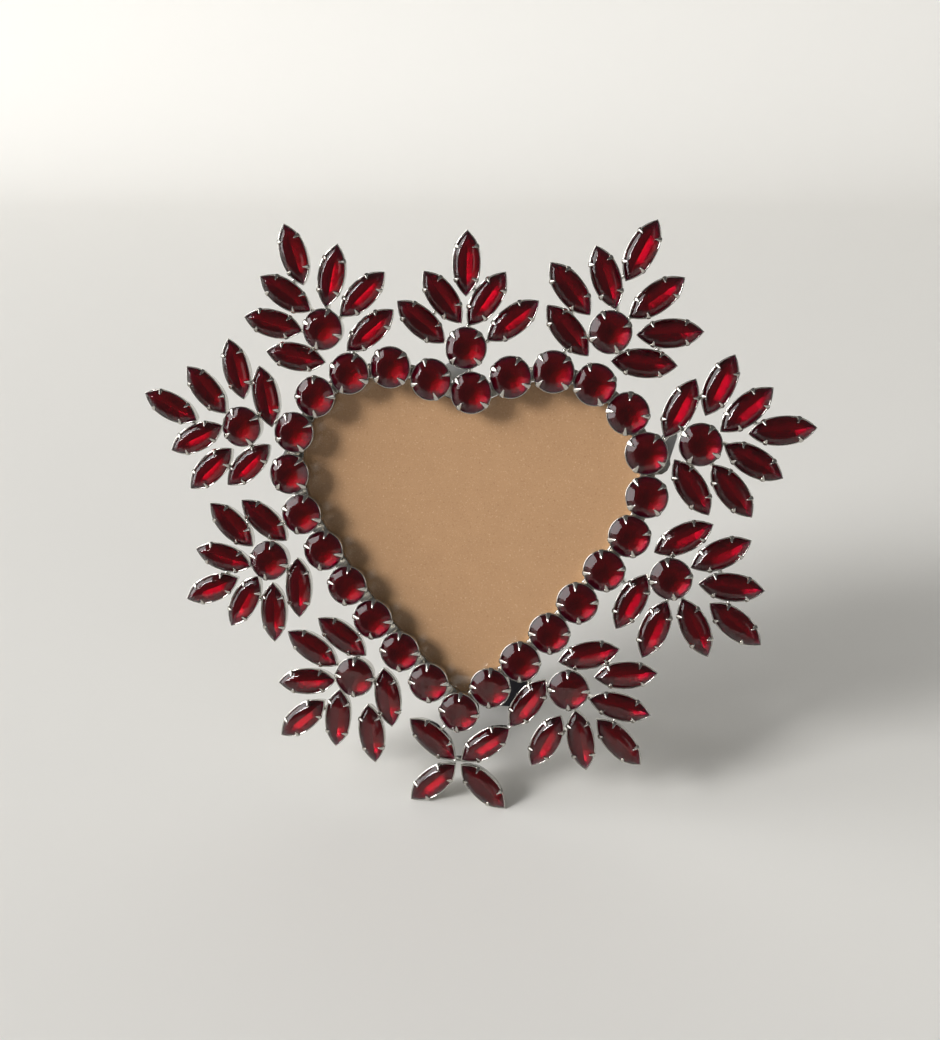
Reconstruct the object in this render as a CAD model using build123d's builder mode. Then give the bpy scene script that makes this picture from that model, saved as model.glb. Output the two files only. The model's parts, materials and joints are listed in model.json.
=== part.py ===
from build123d import *
from collections import namedtuple
import math
import os

os.makedirs("parts", exist_ok=True)

# Stones, in millimetres: round chatons and pointed navettes, flat on top, pointed underneath.
chaton_diameter = 9.6
chaton_crown = 1.7
chaton_pavilion = 3.4
navette_length = 15.0
navette_width = 7.0
navette_crown = 1.35
navette_pavilion = 2.9
table_share = 0.58

# Pressed cups, each with four claws folded over its stone.
cup_wall = 0.25
cup_floor = 0.6
stone_play = 0.05
cup_base_share = 0.86
claw_share = 0.95
claw_lift = 0.12

# Solder between neighbouring cups, at the foot of their walls.
cup_gap = 0.15
row_gap = 0.28
solder_foot = 0.3
solder_height = 1.2
solder_width = 0.9
solder_overrun = 1.3
cross_space = 0.85

# Heart-shaped band and flange that the row of cups is soldered to.
flange_thickness = 1.0
flange_out = 1.2
pocket_inset = 2.2
band_thickness = 0.8
tip_round = 1.5

# What the band holds, from the front: pane, picture card, back board with its velvet.
edge_play = 0.2
layer_play = 0.1
pane_thickness = 2.0
card_thickness = 0.5
board_thickness = 2.8
velvet_thickness = 0.6
pocket_spare = 0.4

# Turn buttons that lock the back, riveted to ears on the band.
ear_thickness = 0.8
ear_width = 6.0
ear_margin = 1.2
button_thickness = 0.8
button_head_radius = 2.6
button_nose_radius = 1.7
button_reach = 7.0
button_park = 30.0
button_rivet_radius = 1.0
rivet_head_radius = 1.7
rivet_head_height = 0.5
rivet_sides = 12
running_play = 0.05

# Easel: a hinge with a tail that stops it, and a velvet-covered leg.
lean = 14.5
leg_spread = 28.0
hinge_drop = 6.0
hinge_width = 18.0
knuckle_radius = 1.8
knuckle_gap = 0.3
middle_knuckle = 8.4
pin_radius = 0.8
leaf_thickness = 0.6
fixed_leaf_length = 11.0
moving_leaf_length = 15.0
leaf_round = 1.0
leaf_rivet_radius = 0.8
leaf_rivet_head = 1.5
leaf_rivet_height = 0.4
stop_play = 0.05
leg_thickness = 2.2
leg_top_width = 14.0
leg_foot_width = 25.0
leg_shoulder = 0.5
leg_round = 3.0

# Angles of the heart and of each spray, and places along the row in steps of one cup.
# A spray is (side, step, standoff share of a navette's width, petals), and a petal is
# (bearing from the spray's centre, direction that it points), in degrees for a right-hand side.
row_count = 26
row_creep_share = 0.14
lobe_offset_share = 0.794
dip_radius_share = 0.4955
flank_radius_share = 7.93
tip_drop_share = 2.432
sprays = {
    "top": (1, 0, 0.06, [(31, 38), (152, 141), (117, 128), (68, 55), (91, 90)]),
    "upper_right": (1, 2.93, 0.29, [
        (182, 131), (-41, -3), (97, 110), (38, 37), (135, 129), (0, 4), (71, 64)]),
    "upper_left": (-1, 3.04, 0.28, [
        (180, 139), (-44, 9), (99, 101), (41, 32), (139, 136), (5, 12), (67, 71)]),
    "side_right": (1, 5.13, 0.32, [
        (122, 65), (-99, -56), (75, 67), (40, 43), (-16, -28), (-54, -51), (12, 7)]),
    "side_left": (-1, 5.14, 0.43, [
        (129, 78), (-99, -44), (84, 75), (43, 48), (-15, -26), (-52, -44), (13, 25)]),
    "lower_right": (1, 7.32, 0.47, [
        (76, 29), (-146, -116), (30, 28), (-5, -3), (-62, -64), (-105, -110), (-33, -37)]),
    "lower_left": (-1, 7.47, 0.48, [
        (82, 39), (-139, -92), (40, 43), (0, 14), (-58, -61), (-94, -92), (-28, -24)]),
    "base_right": (1, 10.67, 0.38, [
        (66, 16), (-157, -124), (22, 8), (-15, -11), (-75, -78), (-111, -117), (-44, -44)]),
    "base_left": (-1, 10.74, 0.46, [
        (71, 35), (-151, -99), (30, 31), (-10, -6), (-68, -86), (-107, -98), (-41, -41)]),
}
cross_bearings = (38, 141, -42, -138)
button_steps = (0, 5.4, -5.4)

# Sizes that follow.
chaton_reach = chaton_diameter / 2 + stone_play + cup_wall
navette_reach = navette_length / 2 + stone_play + cup_wall
navette_half = navette_width / 2 + stone_play + cup_wall
chaton_cup_height = cup_floor + chaton_pavilion + stone_play
navette_cup_height = cup_floor + navette_pavilion + stone_play
row_pitch = 2 * chaton_reach + row_gap
half_row = row_count * row_pitch / 2
pane_back = layer_play + pane_thickness
card_back = pane_back + card_thickness
board_front = card_back + layer_play
board_back = board_front + board_thickness
velvet_back = board_back + velvet_thickness
pocket_depth = velvet_back + pocket_spare
hinge_depth = velvet_back + knuckle_radius
leg_tilt = leg_spread - lean

Setting = namedtuple("Setting", "x y lean petal")


# Heart path: an arc in the dip, an arc over the lobe and a long arc down the flank.
def heart_arcs(lobe, offset=0):
    """Arcs of the right-hand half as (centre, radius, start, end), each tangent to the next."""
    centre_x = lobe_offset_share * lobe
    dip = dip_radius_share * lobe
    flank = flank_radius_share * lobe
    drop = tip_drop_share * lobe
    dip_y = math.sqrt((lobe + dip) ** 2 - centre_x ** 2)
    span = math.hypot(centre_x, drop)
    along = (span ** 2 + flank ** 2 - (flank - lobe) ** 2) / (2 * span)
    across = math.sqrt(flank ** 2 - along ** 2)
    flank_x = (along * centre_x - across * drop) / span
    flank_y = (along * drop + across * centre_x) / span - drop
    dip_end = math.atan2(-dip_y, centre_x)
    flank_start = math.atan2(-flank_y, centre_x - flank_x)
    flank_end = -math.acos(-flank_x / (flank + offset))
    return [
        ((0, dip_y), dip - offset, -math.pi / 2, dip_end),
        ((centre_x, 0), lobe + offset, dip_end + math.pi, flank_start),
        ((flank_x, flank_y), flank + offset, flank_start, flank_end),
    ]


lobe_radius = half_row / sum(radius * abs(end - start) for _, radius, start, end in heart_arcs(1))


def path_point(step, side=1):
    """Point on the row's centreline, with the bearing of its outward normal."""
    distance = step * row_pitch
    arcs = heart_arcs(lobe_radius)
    for (x, y), radius, start, end in arcs:
        length = radius * abs(end - start)
        if distance <= length or radius == arcs[-1][1]:
            turn = start + (end - start) * distance / length
            break
        distance -= length
    outward = turn if end < start else turn + math.pi
    x, y = x + radius * math.cos(turn), y + radius * math.sin(turn)
    return (x, y, outward) if side > 0 else (-x, y, math.pi - outward)


def heart_face(offset, rounding=0):
    """The heart moved out from the row's centreline by an offset, in from it if negative."""
    with BuildSketch() as heart:
        with BuildLine():
            for centre, radius, start, end in heart_arcs(lobe_radius, offset):
                CenterArc(centre, radius, math.degrees(start), math.degrees(end - start))
            mirror(about=Plane.YZ)
        make_face()
        if rounding:
            fillet(heart.vertices().sort_by(Axis.Y)[0], rounding)
    return heart.sketch


# Outlines of the stones and cups.
def navette_arc(half_length, half_width):
    """Radius of a bowed side, how far its centre lies past the axis, and half its angle."""
    radius = (half_length ** 2 + half_width ** 2) / (2 * half_width)
    return radius, radius - half_width, math.asin(half_length / radius)


def navette_outline(half_length, half_width):
    """Ten corners on two bowed sides: the tips, and the two ends of each claw's wall."""
    radius, past, half_angle = navette_arc(half_length, half_width)
    corners = []
    for side in (1, -1):
        for corner_share in (1, 0.66, 0.3, -0.3, -0.66):
            turn = side * corner_share * half_angle
            corners.append((radius * math.sin(turn), side * (radius * math.cos(turn) - past)))
    return corners


def chaton_outline(radius):
    """Twelve corners on a circle, so that four of the walls between them face the diagonals."""
    turns = [math.tau * corner / 12 for corner in range(12)]
    return [(radius * math.cos(turn), radius * math.sin(turn)) for turn in turns]


def faceted(facets):
    """Closed solid of flat facets, each given by its corners."""
    return Solid(Shell([Face(Wire.make_polygon([Vector(*corner) for corner in facet])) for facet in facets]))


def stone(outline, girdle, crown, pavilion):
    """Cut stone: a flat table, a sloping crown, and a pavilion that meets in a point."""
    table = [(x * table_share, y * table_share, girdle + crown) for x, y in outline]
    edge = [(x, y, girdle) for x, y in outline]
    culet = (0, 0, girdle - pavilion)
    facets = [table]
    for here in range(len(outline)):
        after = (here + 1) % len(outline)
        facets.append([edge[here], edge[after], table[after], table[here]])
        facets.append([edge[after], edge[here], culet])
    return faceted(facets)


def cup(outer, inner, claws, height, crown):
    """Cup with tapered walls, a pointed seat, and claws that grow out of some of its walls."""
    base = [(x * cup_base_share, y * cup_base_share, 0) for x, y in outer]
    rim = [(x, y, height) for x, y in outer]
    lip = [(x, y, height) for x, y in inner]
    seat = (0, 0, cup_floor)
    facets = [base[::-1]]
    for here in range(len(outer)):
        after = (here + 1) % len(outer)
        facets.append([base[here], base[after], rim[after], rim[here]])
        facets.append([lip[here], lip[after], seat])
        if here in claws:
            middle_x = (lip[here][0] + lip[after][0]) / 2
            middle_y = (lip[here][1] + lip[after][1]) / 2
            run_x, run_y = lip[after][0] - lip[here][0], lip[after][1] - lip[here][1]
            run = math.hypot(run_x, run_y)
            bevel = (1 - table_share) * (middle_x * run_y - middle_y * run_x) / run
            tip = (middle_x - claw_share * bevel * run_y / run, middle_y + claw_share * bevel * run_x / run,
                   height + claw_share * crown + claw_lift)
            facets += [[rim[here], rim[after], tip], [lip[after], lip[here], tip],
                       [rim[here], tip, lip[here]], [rim[after], lip[after], tip]]
        else:
            facets.append([rim[here], rim[after], lip[after], lip[here]])
    return faceted(facets)


chaton_cup_outline = chaton_outline(chaton_reach)
navette_cup_outline = navette_outline(navette_reach, navette_half)
chaton_stone = stone(chaton_outline(chaton_diameter / 2), chaton_cup_height, chaton_crown, chaton_pavilion)
navette_stone = stone(navette_outline(navette_length / 2, navette_width / 2),
                      navette_cup_height, navette_crown, navette_pavilion)
chaton_cup = cup(chaton_cup_outline, chaton_outline(chaton_reach - cup_wall),
                 (1, 4, 7, 10), chaton_cup_height, chaton_crown)
navette_cup = cup(navette_cup_outline, navette_outline(navette_reach - cup_wall, navette_half - cup_wall),
                  (1, 3, 6, 8), navette_cup_height, navette_crown)


# Layout: each cup is pushed out from its spray's centre until it clears every cup already set.
def navette_distance(x, y, petal):
    """Distance from a point to a navette cup's outline, negative inside it."""
    radius, past, _ = navette_arc(navette_reach, navette_half)
    cos, sin = math.cos(petal.lean), math.sin(petal.lean)
    along = abs((x - petal.x) * cos + (y - petal.y) * sin)
    across = abs((y - petal.y) * cos - (x - petal.x) * sin)
    if (along - navette_reach) * past > across * navette_reach:
        return math.hypot(across, along - navette_reach)
    return math.hypot(across + past, along) - radius


def navette_rim(petal, count=12):
    """Points round a navette cup's outline."""
    radius, past, half_angle = navette_arc(navette_reach, navette_half)
    cos, sin = math.cos(petal.lean), math.sin(petal.lean)
    for side in (1, -1):
        for place in range(count + 1):
            turn = half_angle * (2 * place / count - 1)
            along, across = radius * math.sin(turn), side * (radius * math.cos(turn) - past)
            yield petal.x + along * cos - across * sin, petal.y + along * sin + across * cos


def nearest(one, other):
    """Gap between two cups' outlines, and the point midway across it."""
    if not one.petal and not other.petal:
        apart = math.hypot(other.x - one.x, other.y - one.y)
        return apart - 2 * chaton_reach, (one.x + other.x) / 2, (one.y + other.y) / 2
    if not one.petal:
        one, other = other, one
    gap, x, y = min((reach_from(other, x, y), x, y) for x, y in navette_rim(one))
    if other.petal:
        gap, x, y = min((gap, x, y), min((reach_from(one, a, b), a, b) for a, b in navette_rim(other)))
    return gap, x, y


def reach_from(setting, x, y):
    """Distance from a cup's outline to a point."""
    if setting.petal:
        return navette_distance(x, y, setting)
    return math.hypot(x - setting.x, y - setting.y) - chaton_reach


def neighbours(setting, placed):
    """Cups close enough to touch a given one."""
    return [other for other in placed if other is not setting
            and math.hypot(other.x - setting.x, other.y - setting.y) < 2 * navette_reach + cup_gap]


def is_clear(setting, placed):
    return all(nearest(setting, other)[0] >= cup_gap for other in neighbours(setting, placed))


def push_out(centre, bearing, direction, placed):
    """Move a petal outwards until it is clear, swinging it a little if its way is blocked."""
    limit = chaton_reach + 2 * navette_reach
    for swing in (0, 3, -3, 6, -6, 9, -9, 12, -12, 15, -15, 20, -20):
        turn = bearing + math.radians(swing)

        def at(reach):
            x, y = centre.x + reach * math.cos(turn), centre.y + reach * math.sin(turn)
            return Setting(x, y, direction, True)

        step = navette_half / 8
        reach = chaton_reach
        while reach < limit and not is_clear(at(reach), placed):
            reach += step
        if reach < limit:
            break
    low, high = reach - step, reach
    for _ in range(10):
        middle = (low + high) / 2
        low, high = (low, middle) if is_clear(at(middle), placed) else (middle, high)
    return at(high)


def lay_row():
    """The row of chatons, spaced along the heart and crept round a little at the dip."""
    half = row_count / 2
    settings = []
    for place in range(row_count):
        side = 1 if place <= half else -1
        steps = place if side > 0 else row_count - place
        creep = side * row_creep_share
        x, y, outward = path_point(creep + steps * (half - creep) / half, side)
        settings.append(Setting(x, y, outward, False))
    return settings


def lay_spray(side, step, standoff_share, petals, placed):
    """One chaton outside the row, with its petals set round it in turn."""
    x, y, outward = path_point(step, side)
    standoff = 2 * chaton_reach + standoff_share * 2 * navette_half
    centre = Setting(x + standoff * math.cos(outward), y + standoff * math.sin(outward), outward, False)
    settings = [centre]
    for bearing, direction in petals:
        bearing, direction = math.radians(bearing), math.radians(direction)
        if side < 0:
            bearing, direction = math.pi - bearing, math.pi - direction
        settings.append(push_out(centre, bearing, direction, placed + settings))
    return settings


def lay_cross(placed):
    """Four petals that meet in a cross, lowered from the row's tip until they clear it."""
    reach = cross_space + navette_reach
    middle = min(setting.y for setting in placed[:row_count]) - chaton_reach

    def at(middle):
        turns = [math.radians(bearing) for bearing in cross_bearings]
        return [Setting(reach * math.cos(turn), middle + reach * math.sin(turn), turn, True) for turn in turns]

    while not all(is_clear(petal, placed) for petal in at(middle)):
        middle -= cup_gap
    return at(middle)


row = lay_row()
layout = {}
placed = list(row)
for name, (side, step, standoff_share, petals) in sprays.items():
    layout[name] = lay_spray(side, step, standoff_share, petals, placed)
    placed += layout[name]
layout["bottom"] = lay_cross(placed)
placed += layout["bottom"]


# Where the leaning face stands: centred over the table, with its lowest cups and its foot on it.
def face_reach():
    """Lowest and highest corner of the cups and stones, as the leaning face holds them."""
    sin, cos = math.sin(math.radians(lean)), math.cos(math.radians(lean))
    corners = []
    for setting in placed:
        outline, height, crown = (chaton_cup_outline, chaton_cup_height, chaton_crown)
        if setting.petal:
            outline, height, crown = (navette_cup_outline, navette_cup_height, navette_crown)
        turn_cos, turn_sin = math.cos(setting.lean), math.sin(setting.lean)
        for x, y in outline:
            across = x * turn_cos - y * turn_sin
            along = x * turn_sin + y * turn_cos
            for grow, depth in ((cup_base_share, 0), (1, height), (table_share, height + crown)):
                up = setting.y + grow * along
                corners.append((setting.x + grow * across, up * sin - depth * cos, up * cos + depth * sin))
    return [(min(axis), max(axis)) for axis in zip(*corners)]


(left, right), (front, rear), (lowest, highest) = face_reach()
lean_sin, lean_cos = math.sin(math.radians(lean)), math.cos(math.radians(lean))
tilt_sin, tilt_cos = math.sin(math.radians(leg_tilt)), math.cos(math.radians(leg_tilt))
pin_height = -hinge_drop * lean_cos - hinge_depth * lean_sin - lowest
pin_back = -hinge_drop * lean_sin + hinge_depth * lean_cos
leg_length = pin_height / tilt_cos
foot_back = pin_back + (pin_height * tilt_sin + knuckle_radius - leaf_thickness) / tilt_cos
rear = max(rear, foot_back)
face = Plane(origin=(-(left + right) / 2, -(front + rear) / 2, -lowest),
             x_dir=(1, 0, 0), z_dir=(0, -lean_cos, lean_sin))
pin_centre = face.from_local_coords((0, -hinge_drop, -hinge_depth))
leg_face = Plane(origin=pin_centre, x_dir=(1, 0, 0), z_dir=(0, -tilt_cos, -tilt_sin))


def stand(settings, petal):
    """Places of the chatons or of the petals among some settings, on the leaning face."""
    return [face.location * Location((setting.x, setting.y, 0), (0, 0, math.degrees(setting.lean)))
            for setting in settings if setting.petal == petal]


# Row of chatons round the picture, and the ten sprays outside it.
def set_stones(settings, name):
    """Cups and stones of one group, as two sub-parts."""
    with BuildPart() as cups:
        for petal, template in ((False, chaton_cup), (True, navette_cup)):
            places = stand(settings, petal)
            if places:
                with Locations(*places):
                    add(template)
    cups.part.label = name + "_settings"
    export_step(cups.part, "parts/" + name + "_settings.step")

    with BuildPart() as stones:
        for petal, template in ((False, chaton_stone), (True, navette_stone)):
            places = stand(settings, petal)
            if places:
                with Locations(*places):
                    add(template)
    stones.part.label = name + "_stones"
    export_step(stones.part, "parts/" + name + "_stones.step")
    return cups.part


cup_groups = [set_stones(row, "row")]
for name, settings in layout.items():
    cup_groups.append(set_stones(settings, name + "_spray"))

# Solder: each cup outside the row is joined to its nearest neighbour, each spray to the row,
# and the bottom petals to each other across the cross, by blocks that both walls trim.
def closest(ones, others):
    """The two cups, one from each list, with the least gap between them."""
    return min(((one, other) for one in ones for other in others if other is not one),
               key=lambda pair: nearest(*pair)[0])


links = [(layout["bottom"][0], layout["bottom"][3]), (layout["bottom"][1], layout["bottom"][2])]
for settings in layout.values():
    links.append(closest(settings, row))
    links += [closest([setting], neighbours(setting, placed)) for setting in settings]
links = {tuple(sorted(pair)) for pair in links}

with BuildPart() as solder_joints:
    for one, other in sorted(links):
        gap, x, y = nearest(one, other)
        turn = math.degrees(math.atan2(other.y - one.y, other.x - one.x))
        with Locations(face.location * Location((x, y, solder_foot), (0, 0, turn))):
            Box(gap + 2 * solder_overrun, solder_width, solder_height,
                align=(Align.CENTER, Align.CENTER, Align.MIN))
    for group in cup_groups:
        add(group, mode=Mode.SUBTRACT)
solder_joints.part.label = "solder_joints"
export_step(solder_joints.part, "parts/solder_joints.step")

# Heart pan: the flange under the cups, the band behind it and the ears for the turn buttons.
ear_root = band_thickness / 2 - pocket_inset
button_pivot = button_head_radius - pocket_inset + ear_margin
ear_places = [path_point(abs(step), math.copysign(1, step)) for step in button_steps]


def beside(place, distance):
    """Spot at a distance outside the row's centreline, turned to its outward normal."""
    x, y, outward = place
    return Location((x + distance * math.cos(outward), y + distance * math.sin(outward), 0),
                    (0, 0, math.degrees(outward)))


flange_outline = heart_face(flange_out, tip_round)
band_outline = heart_face(band_thickness - pocket_inset, tip_round)
pocket_outline = heart_face(-pocket_inset)
layer_outline = heart_face(-pocket_inset - edge_play, tip_round)

with BuildPart() as heart_pan:
    with BuildSketch(face.offset(-flange_thickness)):
        add(flange_outline)
        add(pocket_outline, mode=Mode.SUBTRACT)
    extrude(amount=flange_thickness)
    with BuildSketch(face.offset(-pocket_depth)):
        add(band_outline)
        add(pocket_outline, mode=Mode.SUBTRACT)
    extrude(amount=pocket_depth - flange_thickness)
    with BuildSketch(face.offset(-pocket_depth)):
        with Locations(*[beside(place, ear_root) for place in ear_places]):
            Rectangle(button_pivot - ear_root, ear_width, align=(Align.MIN, Align.CENTER))
        with Locations(*[beside(place, button_pivot) for place in ear_places]):
            RegularPolygon(ear_width / 2, rivet_sides, major_radius=False, rotation=180 / rivet_sides)
            RegularPolygon(button_rivet_radius, rivet_sides, mode=Mode.SUBTRACT)
    extrude(amount=ear_thickness)
heart_pan.part.label = "heart_pan"
export_step(heart_pan.part, "parts/heart_pan.step")


# Layers in the pocket, each a heart that clears the band.
def heart_layer(depth, thickness, name):
    """A flat heart whose back lies at a depth behind the flange's face."""
    with BuildPart() as layer:
        with BuildSketch(face.offset(-depth)):
            add(layer_outline)
        extrude(amount=thickness)
    layer.part.label = name
    export_step(layer.part, "parts/" + name + ".step")


heart_layer(pane_back, pane_thickness, "glass_pane")
heart_layer(card_back, card_thickness, "picture_card")
heart_layer(board_back, board_thickness, "back_board")
heart_layer(velvet_back, velvet_thickness, "back_velvet")

# Turn buttons, parked with their noses turned out, clear of the back, and their rivets.
button_front = pocket_depth + running_play
for place, name in zip(ear_places, ("top", "right", "left")):
    pivot = beside(place, button_pivot) * Location((0, 0, 0), (0, 0, 90 - button_park))
    with BuildPart() as turn_button:
        with BuildSketch(face.offset(-button_front - button_thickness)):
            with Locations(pivot):
                Circle(button_head_radius)
            with Locations(pivot * Location((button_reach, 0, 0))):
                Circle(button_nose_radius)
            make_hull()
            with Locations(pivot):
                Circle(button_rivet_radius + running_play, mode=Mode.SUBTRACT)
        extrude(amount=button_thickness)
    turn_button.part.label = "turn_button_" + name
    export_step(turn_button.part, "parts/turn_button_" + name + ".step")

with BuildPart() as button_rivets:
    rivet_end = button_front + button_thickness + running_play
    with BuildSketch(face.offset(-rivet_end)):
        with Locations(*[beside(place, button_pivot) for place in ear_places]):
            RegularPolygon(button_rivet_radius, rivet_sides)
    extrude(amount=rivet_end - pocket_depth + ear_thickness)
    with BuildSketch(face.offset(-rivet_end - rivet_head_height)):
        with Locations(*[beside(place, button_pivot) for place in ear_places]):
            RegularPolygon(rivet_head_radius, rivet_sides)
    extrude(amount=rivet_head_height)
button_rivets.part.label = "button_rivets"
export_step(button_rivets.part, "parts/button_rivets.step")

# Hinge: the fixed leaf goes up the back, the moving leaf goes down the leg, and the tail
# of the moving leaf meets the fixed one when the leg is open.
pin_plane = Plane(origin=pin_centre, x_dir=(0, 1, 0), z_dir=(1, 0, 0))
side_knuckle = (hinge_width - middle_knuckle) / 2 - knuckle_gap
side_centre = (hinge_width - side_knuckle) / 2
leaf_plane = knuckle_radius - leaf_thickness
spread = math.radians(leg_spread)
tail_length = (leaf_plane * (1 + math.cos(spread)) - stop_play) / math.sin(spread)
fixed_rivet_rise = fixed_leaf_length - leaf_rivet_head - leaf_round - hinge_drop
fixed_rivet_side = hinge_width / 2 - leaf_rivet_head - leaf_round
fixed_rivets = [(side * fixed_rivet_side, fixed_rivet_rise) for side in (1, -1)]
moving_rivets = [(0, -moving_leaf_length * drop_share) for drop_share in (0.45, 0.8)]

with BuildPart() as fixed_leaf:
    with BuildSketch(face.offset(-velvet_back - leaf_thickness)):
        with Locations((0, -hinge_drop)):
            Rectangle(hinge_width, fixed_leaf_length, align=(Align.CENTER, Align.MIN))
        fillet(vertices().group_by(Axis.Y)[-1], leaf_round)
        with Locations((0, -hinge_drop)):
            Rectangle(middle_knuckle + 2 * knuckle_gap, knuckle_radius + knuckle_gap,
                      align=(Align.CENTER, Align.MIN), mode=Mode.SUBTRACT)
        with Locations(*fixed_rivets):
            RegularPolygon(leaf_rivet_radius, rivet_sides, mode=Mode.SUBTRACT)
    extrude(amount=leaf_thickness)
    for centre in (side_centre, -side_centre):
        with BuildSketch(pin_plane.offset(centre - side_knuckle / 2)):
            Circle(knuckle_radius)
        extrude(amount=side_knuckle)
    with BuildSketch(pin_plane.offset(-hinge_width / 2)):
        Circle(pin_radius)
    extrude(amount=hinge_width, mode=Mode.SUBTRACT)
fixed_leaf.part.label = "hinge_fixed_leaf"
export_step(fixed_leaf.part, "parts/hinge_fixed_leaf.step")

with BuildPart() as moving_leaf:
    with BuildSketch(leg_face.offset(-knuckle_radius)):
        with Locations((0, -moving_leaf_length)):
            Rectangle(middle_knuckle, moving_leaf_length + tail_length, align=(Align.CENTER, Align.MIN))
        fillet(vertices().group_by(Axis.Y)[0], leaf_round)
        with Locations(*moving_rivets):
            RegularPolygon(leaf_rivet_radius, rivet_sides, mode=Mode.SUBTRACT)
    extrude(amount=leaf_thickness)
    with BuildSketch(pin_plane.offset(-middle_knuckle / 2)):
        Circle(knuckle_radius)
    extrude(amount=middle_knuckle)
    with BuildSketch(pin_plane.offset(-hinge_width / 2)):
        Circle(pin_radius + running_play)
    extrude(amount=hinge_width, mode=Mode.SUBTRACT)
moving_leaf.part.label = "hinge_moving_leaf"
export_step(moving_leaf.part, "parts/hinge_moving_leaf.step")

with BuildPart() as hinge_pin:
    with BuildSketch(pin_plane.offset(-hinge_width / 2)):
        Circle(pin_radius)
    extrude(amount=hinge_width)
hinge_pin.part.label = "hinge_pin"
export_step(hinge_pin.part, "parts/hinge_pin.step")

# Rivets: two hold the fixed leaf to the back, two hold the moving leaf to the leg.
with BuildPart() as back_rivets:
    with BuildSketch(face.offset(-velvet_back - leaf_thickness - leaf_rivet_height)):
        with Locations(*fixed_rivets):
            RegularPolygon(leaf_rivet_head, rivet_sides)
    extrude(amount=leaf_rivet_height)
    with BuildSketch(face.offset(-velvet_back - leaf_thickness)):
        with Locations(*fixed_rivets):
            RegularPolygon(leaf_rivet_radius, rivet_sides)
    extrude(amount=leaf_thickness)
back_rivets.part.label = "back_rivets"
export_step(back_rivets.part, "parts/back_rivets.step")

with BuildPart() as leg_rivets:
    with BuildSketch(leg_face.offset(-knuckle_radius - leaf_rivet_height)):
        with Locations(*moving_rivets):
            RegularPolygon(leaf_rivet_head, rivet_sides)
    extrude(amount=leaf_rivet_height)
    with BuildSketch(leg_face.offset(-knuckle_radius)):
        with Locations(*moving_rivets):
            RegularPolygon(leaf_rivet_radius, rivet_sides)
    extrude(amount=leaf_thickness)
leg_rivets.part.label = "leg_rivets"
export_step(leg_rivets.part, "parts/leg_rivets.step")

# Easel leg: wider at the foot, which is cut flat to stand on the table.
leg_top = knuckle_radius + leg_shoulder
with BuildPart() as easel_leg:
    with BuildSketch(leg_face.offset(-leaf_plane)):
        with BuildLine():
            Polyline((leg_top_width / 2, -leg_top), (-leg_top_width / 2, -leg_top),
                     (-leg_foot_width / 2, -leg_length - leg_thickness),
                     (leg_foot_width / 2, -leg_length - leg_thickness), close=True)
        make_face()
        fillet(vertices().group_by(Axis.Y)[-1], leg_round)
    extrude(amount=leg_thickness)
    split(bisect_by=Plane.XY, keep=Keep.TOP)
easel_leg.part.label = "easel_leg"
export_step(easel_leg.part, "parts/easel_leg.step")
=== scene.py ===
"""Looks of a heart-shaped photo frame edged with foiled red glass stones in claw cups."""

import json
import math

import bmesh
import bpy
import numpy as np
from mathutils import Matrix, Vector


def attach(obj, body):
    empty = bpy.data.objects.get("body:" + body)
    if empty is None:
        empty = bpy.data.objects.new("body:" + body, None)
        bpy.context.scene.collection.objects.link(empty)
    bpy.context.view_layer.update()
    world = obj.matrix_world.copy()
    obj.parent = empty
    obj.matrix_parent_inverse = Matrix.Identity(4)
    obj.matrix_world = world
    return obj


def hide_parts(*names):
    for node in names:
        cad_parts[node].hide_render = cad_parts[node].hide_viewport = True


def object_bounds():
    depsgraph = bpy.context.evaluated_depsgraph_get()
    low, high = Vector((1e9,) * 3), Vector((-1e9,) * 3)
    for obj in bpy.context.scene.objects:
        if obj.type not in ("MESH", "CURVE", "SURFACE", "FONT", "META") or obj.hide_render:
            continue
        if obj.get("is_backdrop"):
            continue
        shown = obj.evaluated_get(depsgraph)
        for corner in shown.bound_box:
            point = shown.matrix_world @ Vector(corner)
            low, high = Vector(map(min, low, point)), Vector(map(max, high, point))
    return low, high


bl_info = {
    "name": "Jewelled Heart Frame",
    "version": (1, 0, 0),
    "blender": (4, 5, 0),
    "location": "View3D > Sidebar > Heart Frame",
    "description": "Cut stones in claw cups, picture and easel back of a heart-shaped photo frame",
    "category": "Object",
}

MM = 0.001

# Corners closer than this are one, and faces within this many degrees are one flat side.
DOUBLED = 0.002 * MM
FLAT = 0.5
# Degrees between two faces past which the edge between them is shaded sharp.
SHARP_CUP, SHARP_STONE, SHARP_SOLDER, SHARP_PLATE, SHARP_RIVET = 35, 14, 60, 30, 40
# A cup is a petal where its corners spread this many times as far one way as the other, and
# so it is this many times as long as wide.
PETAL_SPREAD = 1.5
PETAL_RATIO = 1.2
# How much a petal's sides bulge past plain arcs, and how steeply its foil levels out.
FULLNESS = 0.7
LEVELLING = 1.6
# Rings of a foiled underside, as parts of the way from the girdle to the keel.
ROUND_FOIL, PETAL_FOIL = (0, 1), (0, 0.3, 0.65, 1)
# Part of the bevel's fall that the polished round takes at the edge of a stone's table.
TABLE_ROUND = 0.3

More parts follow.
